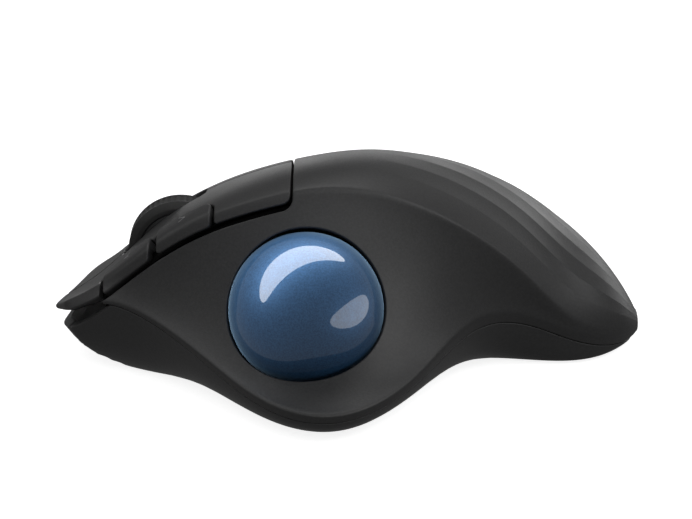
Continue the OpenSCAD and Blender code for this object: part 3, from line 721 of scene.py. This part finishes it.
def door():
    body = slab("door_body", DOOR_X, DOOR_Y, DOOR_CORNER, DOOR_Z, 0.35)
    ridge_z = (DOOR_Z[0] - RIDGE_PROUD, DOOR_Z[0] + 0.2)
    ridges = [slab("ridge", (x, x + 1), RIDGE_Y, 0.49, ridge_z, 0.2, 4)
              for x in np.arange(*RIDGE_X)]
    return join("battery_cover", [body] + ridges)


def feet():
    pads = [slab("pad", (x - FOOT_R, x + FOOT_R), (y - FOOT_R, y + FOOT_R), FOOT_R - 0.01, FOOT_Z,
                 0.3, 12) for x, y in FEET_AT]
    return join("glide_pads", pads)


def chevron(name, skin, x, y, point):
    """Small arrow mark laid on a surface. point is -1 or 1 along X."""
    flat_p, flat_n = skin.p.reshape(-1, 3), skin.n.reshape(-1, 3)
    up = flat_n[:, 2] > 0.2
    flat_p, flat_n = flat_p[up], flat_n[up]
    near = np.argmin((flat_p[:, 0] - x) ** 2 + (flat_p[:, 1] - y) ** 2)
    origin, normal = flat_p[near], flat_n[near]
    along = unit(np.cross(np.cross(normal, [1.0, 0, 0]), normal))
    across = np.cross(normal, along)
    path = [(-point * MARK_REACH, MARK_SPREAD), (point * MARK_REACH, 0),
            (-point * MARK_REACH, -MARK_SPREAD)]
    points, faces = [], []
    for a, b in zip(path, path[1:]):
        for t in np.linspace(0, 1, MARK_STEPS):
            c = np.array(a) * (1 - t) + np.array(b) * t
            for side in (-MARK_WIDTH / 2, MARK_WIDTH / 2):
                q = origin + (c[0] + side) * along + c[1] * across
                k = np.argmin(((flat_p - q) ** 2).sum(-1))
                q = q - dot(q - flat_p[k], flat_n[k]) * flat_n[k]
                points += [q + MARK_PROUD * flat_n[k], q - 0.1 * flat_n[k]]
    for half in (0, 4 * MARK_STEPS):
        for i in range(MARK_STEPS - 1):
            a = half + 4 * i
            faces += [(a, a + 2, a + 6, a + 4), (a + 1, a + 5, a + 7, a + 3),
                      (a, a + 4, a + 5, a + 1), (a + 2, a + 3, a + 7, a + 6)]
        end = half + 4 * (MARK_STEPS - 1)
        faces += [(half, half + 1, half + 3, half + 2), (end, end + 2, end + 3, end + 1)]
    return new_mesh(name, points, faces)


# Half length and half width of a chevron, the width of its line, how far it stands proud, and
# its points along each arm
MARK_REACH, MARK_SPREAD = 0.8, 0.9
MARK_WIDTH = 0.28
MARK_PROUD = 0.03
MARK_STEPS = 6


# ---------------------------------------------------------------- camera and light
def look(obj, target):
    direction = Vector(target) - obj.location
    obj.rotation_euler = direction.to_track_quat("-Z", "Y").to_euler()


# The photograph's angle. The distance and the target are in metres.
CAMERA_LENS = 137.3
CAMERA_TILT = math.radians(22)
CAMERA_DISTANCE = 0.6
CAMERA_TARGET = (0, 0, 0.0233)


def add_camera():
    data = bpy.data.cameras.new("camera")
    data.sensor_width = 36
    data.lens = CAMERA_LENS
    data.clip_start, data.clip_end = 0.01, 20
    cam = bpy.data.objects.new("camera", data)
    bpy.context.scene.collection.objects.link(cam)
    target = Vector(CAMERA_TARGET)
    back = Vector((0, -math.cos(CAMERA_TILT), math.sin(CAMERA_TILT)))
    cam.location = target + CAMERA_DISTANCE * back
    look(cam, target)
    bpy.context.scene.camera = cam


def softbox(name, place, target, size, power, turn, shape):
    data = bpy.data.lights.new(name, "AREA")
    data.shape = shape
    data.size, data.size_y = size
    data.energy = power
    light = bpy.data.objects.new(name, data)
    bpy.context.scene.collection.objects.link(light)
    light.location = place
    look(light, target)
    light.rotation_euler.rotate_axis("Z", turn)
    light.visible_camera = False
    return light


def add_lights(lit):
    world = bpy.data.worlds.new("studio")
    bpy.context.scene.world = world
    world.use_nodes = True
    world.node_tree.nodes["Background"].inputs["Color"].default_value = (1, 1, 1, 1)
    world.node_tree.nodes["Background"].inputs["Strength"].default_value = WORLD_STRENGTH
    for name, place, target, size, power, turn, to_ball in LIGHTS:
        shape = "ELLIPSE" if to_ball else "RECTANGLE"
        light = softbox(name, place, target, size, power, math.radians(turn), shape)
        light.light_linking.receiver_collection = lit["ball" if to_ball else "body"]


# Studio softboxes: place, target, size, power, turn about the beam, and whether the light
# is kept to the ball, where it draws a gloss highlight. WORLD_STRENGTH and the powers from
# overhead to front_low were made by a program: a scratch fit of renders to the photograph's
# tones, rounded and raised slightly. The rest is set one by one.
WORLD_STRENGTH = 0.2
LIGHTS = (
    ("overhead", (-1.1, -0.05, 1.02), (-1.1, -0.0499, 0), (3.8, 0.72), 8.4, 25, False),
    ("top", (0.1, 0.3, 1.1), (0, 0, 0.03), (0.9, 0.4), 1, 0, False),
    ("upper_right", (0.9, -0.3, 0.9), (0, 0, 0.02), (0.6, 0.6), 3, 0, False),
    ("rear_right", (1.1, 1.1, 0.35), (0, 0, 0.03), (1.2, 0.6), 1.9, 0, False),
    ("rear_low", (0.5, 1.5, 0.12), (0, 0, 0.03), (2.4, 0.25), 4.2, 0, False),
    ("front_high", (0.2, -1.0, 1.0), (0, 0, 0.02), (1.4, 0.5), 3.4, 0, False),
    ("front_low", (0.1, -1.3, 0.35), (0, 0, 0.02), (1.4, 0.5), 0.8, 0, False),
    ("ridge", (0.1, -0.38, 1.0), (0.1, 0, 0.03), (1.8, 0.12), 0.9, 0, False),
    ("ball_arch", (-1.1, -0.05, 1.02), (-1.1, -0.0499, 0), (4.6, 0.88), 52, 25, True),
    ("ball_side", (1.0, -0.56, 0.06), (0, -0.56, 0.06), (1.75, 0.6), 4.4, 0, True),
)


def add_floor():
    h = FLOOR_HALF
    floor = new_mesh("floor", [(-h, -h, 0), (h, -h, 0), (h, h, 0), (-h, h, 0)], [(0, 1, 2, 3)])
    mat, shader = shader_material("floor_paper")[:2]
    shader.inputs["Base Color"].default_value = (0.6, 0.6, 0.6, 1)
    shader.inputs["Roughness"].default_value = 0.9
    shader.inputs["Emission Color"].default_value = (1, 1, 1, 1)
    shader.inputs["Emission Strength"].default_value = FLOOR_GLOW
    floor.data.materials.append(mat)
    floor.visible_glossy = False
    floor.visible_diffuse = False
    return floor


FLOOR_HALF = 3000
FLOOR_GLOW = 0.85


# ---------------------------------------------------------------- materials
def shader_material(name):
    mat = bpy.data.materials.new(name)
    mat.use_nodes = True
    nodes, links = mat.node_tree.nodes, mat.node_tree.links
    return mat, nodes["Principled BSDF"], nodes, links


def noise(nodes, links, scale, detail=2.0, stretch=(1, 1, 1)):
    """Noise in object space. Its scale is in cells per metre."""
    coords = nodes.new("ShaderNodeTexCoord")
    mapping = nodes.new("ShaderNodeMapping")
    mapping.inputs["Scale"].default_value = stretch
    links.new(coords.outputs["Object"], mapping.inputs["Vector"])
    tex = nodes.new("ShaderNodeTexNoise")
    tex.inputs["Scale"].default_value = scale
    tex.inputs["Detail"].default_value = detail
    links.new(mapping.outputs["Vector"], tex.inputs["Vector"])
    return tex.outputs["Fac"]


def spread(nodes, links, value, low, high, between=(0.3, 0.7)):
    node = nodes.new("ShaderNodeMapRange")
    node.inputs["From Min"].default_value, node.inputs["From Max"].default_value = between
    node.inputs["To Min"].default_value, node.inputs["To Max"].default_value = low, high
    links.new(value, node.inputs["Value"])
    return node.outputs["Result"]


def two_tone(nodes, links, value, first, second):
    ramp = nodes.new("ShaderNodeValToRGB")
    ramp.color_ramp.elements[0].position, ramp.color_ramp.elements[1].position = 0.32, 0.68
    ramp.color_ramp.elements[0].color = (*first, 1)
    ramp.color_ramp.elements[1].color = (*second, 1)
    links.new(value, ramp.inputs["Fac"])
    return ramp.outputs["Color"]


def bump(nodes, links, shader, height, strength, depth):
    node = nodes.new("ShaderNodeBump")
    node.inputs["Strength"].default_value = strength
    node.inputs["Distance"].default_value = depth
    links.new(height, node.inputs["Height"])
    links.new(node.outputs["Normal"], shader.inputs["Normal"])


def moulded(name, color, rough, grain=2600, depth=0.00003, vary=0.12, spec=0.5, coat=0.0,
            metal=0.0, stretch=(1, 1, 1), strength=0.5):
    """Plastic, rubber or metal with a fine grain, uneven gloss and slight colour variation."""
    mat, shader, nodes, links = shader_material(name)
    broad = noise(nodes, links, 60, 3)
    fine = noise(nodes, links, grain, 2, stretch)
    dark, light = (tuple(min(c * k, 1) for c in color) for k in (1 - vary, 1 + vary))
    speck = noise(nodes, links, grain * 0.7, 1, stretch)
    links.new(two_tone(nodes, links, speck, dark, light), shader.inputs["Base Color"])
    mix = nodes.new("ShaderNodeMath")
    mix.operation = "ADD"
    links.new(broad, mix.inputs[0])
    links.new(fine, mix.inputs[1])
    links.new(spread(nodes, links, mix.outputs[0], rough * 0.88, rough * 1.12, (0.7, 1.3)),
              shader.inputs["Roughness"])
    bump(nodes, links, shader, fine, strength, depth)
    shader.inputs["Specular IOR Level"].default_value = spec
    shader.inputs["Metallic"].default_value = metal
    shader.inputs["Coat Weight"].default_value = coat
    return mat


def pearl(name):
    """Blue pearl under a clear gloss coat, with fine flakes."""
    mat, shader, nodes, links = shader_material(name)
    flakes = noise(nodes, links, 2800, 2)
    links.new(two_tone(nodes, links, flakes, PEARL_DARK, PEARL_LIGHT), shader.inputs["Base Color"])
    cloud = noise(nodes, links, 900, 2)
    links.new(spread(nodes, links, cloud, 0.42, 0.55), shader.inputs["Roughness"])
    shader.inputs["Metallic"].default_value = 0.55
    shader.inputs["Coat Weight"].default_value = 1
    shader.inputs["Coat Roughness"].default_value = 0.02
    shader.inputs["Coat IOR"].default_value = 1.7
    shader.inputs["Sheen Weight"].default_value = 0.7
    shader.inputs["Sheen Roughness"].default_value = 0.3
    shader.inputs["Sheen Tint"].default_value = (0.45, 0.72, 1, 1)
    bump(nodes, links, shader, flakes, 0.25, 0.00002)
    return mat


PEARL_DARK = (0.018, 0.078, 0.19)
PEARL_LIGHT = (0.036, 0.13, 0.29)


def clear(name):
    mat, shader, nodes, links = shader_material(name)
    shader.inputs["Base Color"].default_value = (0.9, 0.95, 1, 1)
    shader.inputs["Transmission Weight"].default_value = 1
    shader.inputs["IOR"].default_value = 1.5
    links.new(spread(nodes, links, noise(nodes, links, 500), 0.02, 0.08),
              shader.inputs["Roughness"])
    return mat


def circuit(name):
    """Solder mask over copper tracks."""
    mat, shader, nodes, links = shader_material(name)
    coords = nodes.new("ShaderNodeTexCoord")
    brick = nodes.new("ShaderNodeTexBrick")
    brick.inputs["Scale"].default_value = 350
    brick.inputs["Mortar Size"].default_value = 0.04
    brick.inputs["Color1"].default_value = (0.012, 0.07, 0.03, 1)
    brick.inputs["Color2"].default_value = (0.015, 0.085, 0.04, 1)
    brick.inputs["Mortar"].default_value = (0.04, 0.18, 0.08, 1)
    links.new(coords.outputs["Object"], brick.inputs["Vector"])
    links.new(brick.outputs["Color"], shader.inputs["Base Color"])
    links.new(spread(nodes, links, noise(nodes, links, 800), 0.25, 0.4),
              shader.inputs["Roughness"])
    bump(nodes, links, shader, brick.outputs["Fac"], 0.3, 0.00003)
    return mat


def make_materials():
    metal = dict(metal=1, depth=0.00001)
    return {
        "shell_plastic": moulded("graphite_shell", GRAPHITE, 0.43, spec=0.45),
        "key_plastic": moulded("graphite_keys", GRAPHITE, 0.44, grain=3200, spec=0.45),
        "button_plastic": moulded("graphite_buttons", GRAPHITE, 0.42, grain=3200, spec=0.45),
        "ball_blue": pearl("blue_pearl"),
        "cup_plastic": moulded("cup_black", (0.008, 0.008, 0.008), 0.6),
        "ceramic_white": moulded("ceramic", (0.8, 0.8, 0.76), 0.12, vary=0.03, depth=0.000002,
                                 coat=0.5),
        "clear_lens": clear("clear_acrylic"),
        "black_package": moulded("package_black", (0.014, 0.014, 0.015), 0.55, grain=5000),
        "board_green": circuit("solder_mask"),
        "ribbon_film": moulded("ribbon", (0.5, 0.36, 0.16), 0.35, stretch=(1, 1, 0.05)),
        "nickel": moulded("nickel_plate", (0.62, 0.6, 0.56), 0.28, stretch=(1, 1, 0.1), **metal),
        "capacitor_body": moulded("capacitor", (0.3, 0.2, 0.11), 0.5),
        "plunger_plastic": moulded("plunger_white", (0.65, 0.65, 0.62), 0.4, vary=0.04),
        "hub_plastic": moulded("hub_black", (0.016, 0.016, 0.017), 0.42, grain=3000),
        "wheel_rubber": moulded("tyre_rubber", (0.014, 0.014, 0.014), 0.62, grain=2200,
                                depth=0.00005, spec=0.4),
        "carrier_plastic": moulded("carrier_grey", (0.02, 0.02, 0.021), 0.5),
        "encoder_green": moulded("encoder", (0.03, 0.12, 0.05), 0.4),
        "cell_wrap": moulded("cell_film", (0.1, 0.11, 0.13), 0.25, grain=900, vary=0.06, coat=0.3),
        "spring_steel": moulded("spring_steel", (0.5, 0.49, 0.47), 0.3, **metal),
        "lead_sleeve": moulded("lead_red", (0.3, 0.02, 0.015), 0.45, vary=0.08),
        "slider_plastic": moulded("slider_orange", (0.55, 0.1, 0.03), 0.45, vary=0.06),
        "pair_plastic": moulded("pair_grey", (0.06, 0.06, 0.062), 0.45),
        "foot_ptfe": moulded("foot_black", (0.018, 0.018, 0.018), 0.3, grain=1500, spec=0.4),
        "screw_steel": moulded("screw_zinc", (0.4, 0.4, 0.42), 0.32, **metal),
        "mark": moulded("mark_print", (0.24, 0.24, 0.245), 0.5, vary=0.05),
        # Near-black look for the rim and shelf under the keys: painted shade, darker than the
        # plastic they stand for.
        "painted_shade_dark": moulded("painted_shade_black", (0.004, 0.004, 0.004), 0.8, spec=0.15),
    }


GRAPHITE = (0.0235, 0.0235, 0.024)

# ---------------------------------------------------------------- the whole model
NODE_BODY = {n: b for b, members in frame["record"]["behaviour"]["bodies"].items()
             for n in members}
NODE_SLOT = {s["node"]: s["material_slot"] for s in frame["record"]["subparts"]}


def place(piece, materials, body, slot, *nodes, look_of=None):
    piece.data.materials.append(materials[look_of or slot])
    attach(piece, body)
    if nodes:
        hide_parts(*nodes)


def stand_for(piece, materials, node):
    place(piece, materials, NODE_BODY[node], NODE_SLOT[node], node)


def build(lit):
    materials = make_materials()
    skin = Skin(body_grid())
    for node, piece in body_plates(skin).items():
        stand_for(piece, materials, node)
    # The rim and shelf under the keys take a near-black look in place of the shell's plastic:
    # painted shade.
    for piece in inner_pieces(skin):
        place(piece, materials, "base", "shell_plastic", look_of="painted_shade_dark")
    for node, piece in (("trackball", ball()), ("wheel_tyre", tyre()), ("wheel_hub", hub()),
                        ("battery_door", door()), ("feet", feet())):
        stand_for(piece, materials, node)
    proud = skin.offset(BUTTON_PROUD)
    for node, (x, y), way in (("forward_button", FORWARD_MARK, -1), ("back_button", BACK_MARK, 1)):
        mark = chevron(node + "_mark", proud, x, y, way)
        place(mark, materials, NODE_BODY[node], NODE_SLOT[node], look_of="mark")
    for node, obj in frame["nodes"].items():
        if obj.hide_render:
            continue
        finish = materials[NODE_SLOT[node]]
        if obj.material_slots:
            for each in obj.material_slots:
                each.material = finish
        else:
            obj.data.materials.append(finish)

    for piece in [o for o in bpy.data.objects if o.type == "MESH" and o.name != "floor"]:
        lit["ball" if piece.name == "blue_ball" else "body"].objects.link(piece)


FORWARD_MARK = (-49.2, -9.6)
BACK_MARK = (-36.4, -10.9)

lit = {k: bpy.data.collections.new("lit_" + k) for k in ("ball", "body")}
add_camera()
add_lights(lit)
lit["body"].objects.link(add_floor())
build(lit)
bpy.context.scene.view_settings.view_transform = "Standard"
